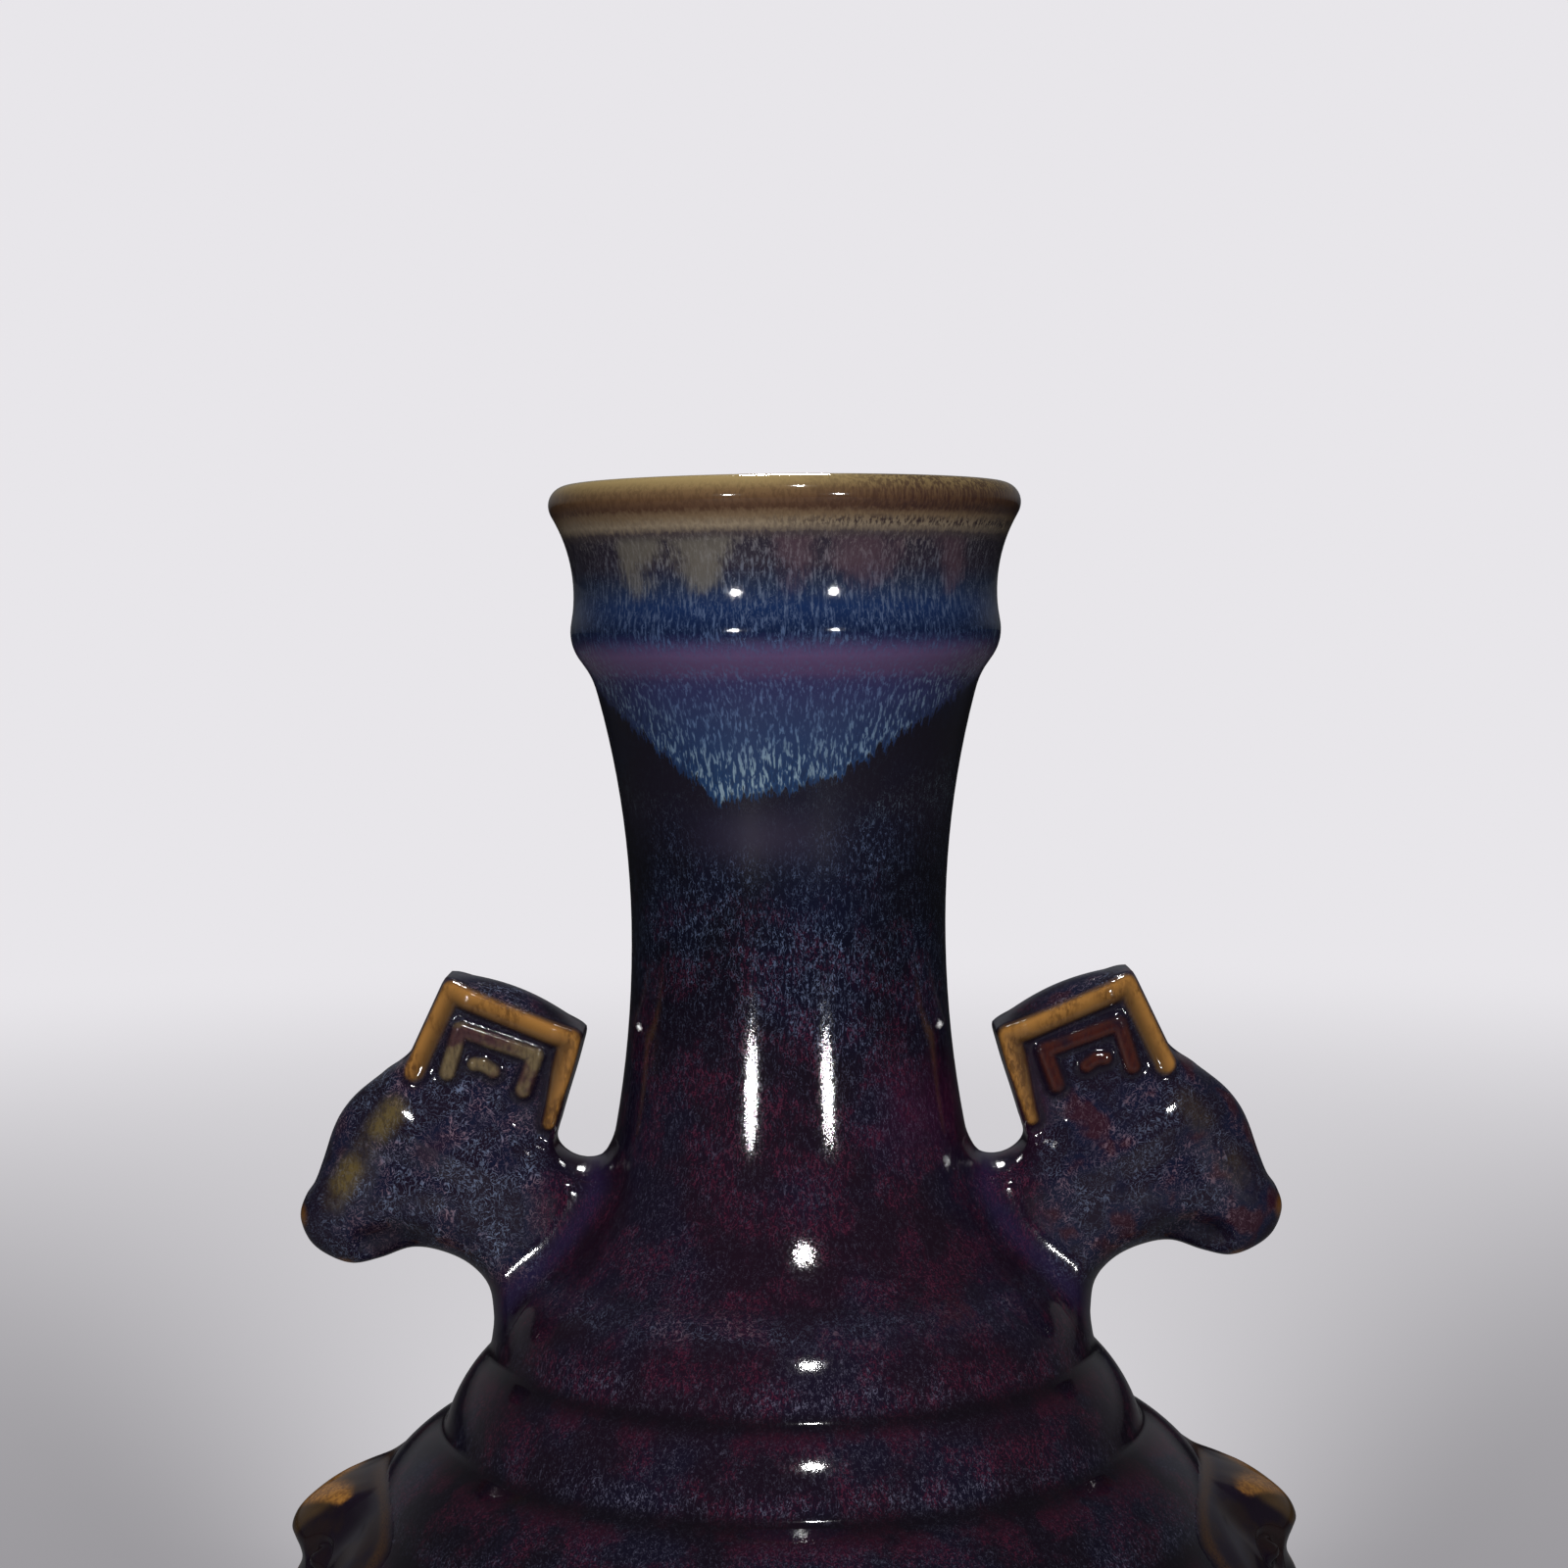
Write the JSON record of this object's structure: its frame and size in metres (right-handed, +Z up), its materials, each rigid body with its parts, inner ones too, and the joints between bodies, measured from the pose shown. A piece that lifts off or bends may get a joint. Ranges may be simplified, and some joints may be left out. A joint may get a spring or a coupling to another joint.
{
  "type": "vase",
  "caption": "Tall jun ware vase with a dished collar, a slim waisted neck, a ribbed shoulder, beast-head ears and beast-mask bosses, for holding cut stems or for display",
  "frame": {"origin": "on the table surface under the middle of the foot", "axes": "+Z up along the vase's axis; the ears and the bosses point along +X and -X; -Y faces the picture's viewer"},
  "size_m": [0.178, 0.178, 0.34],
  "materials": {
    "glaze": "thick glossy blue and purple streaked glaze, thin and brown on the edges"
  },
  "bodies": {
    "root": {"vase": "glaze"}
  },
  "joints": []
}
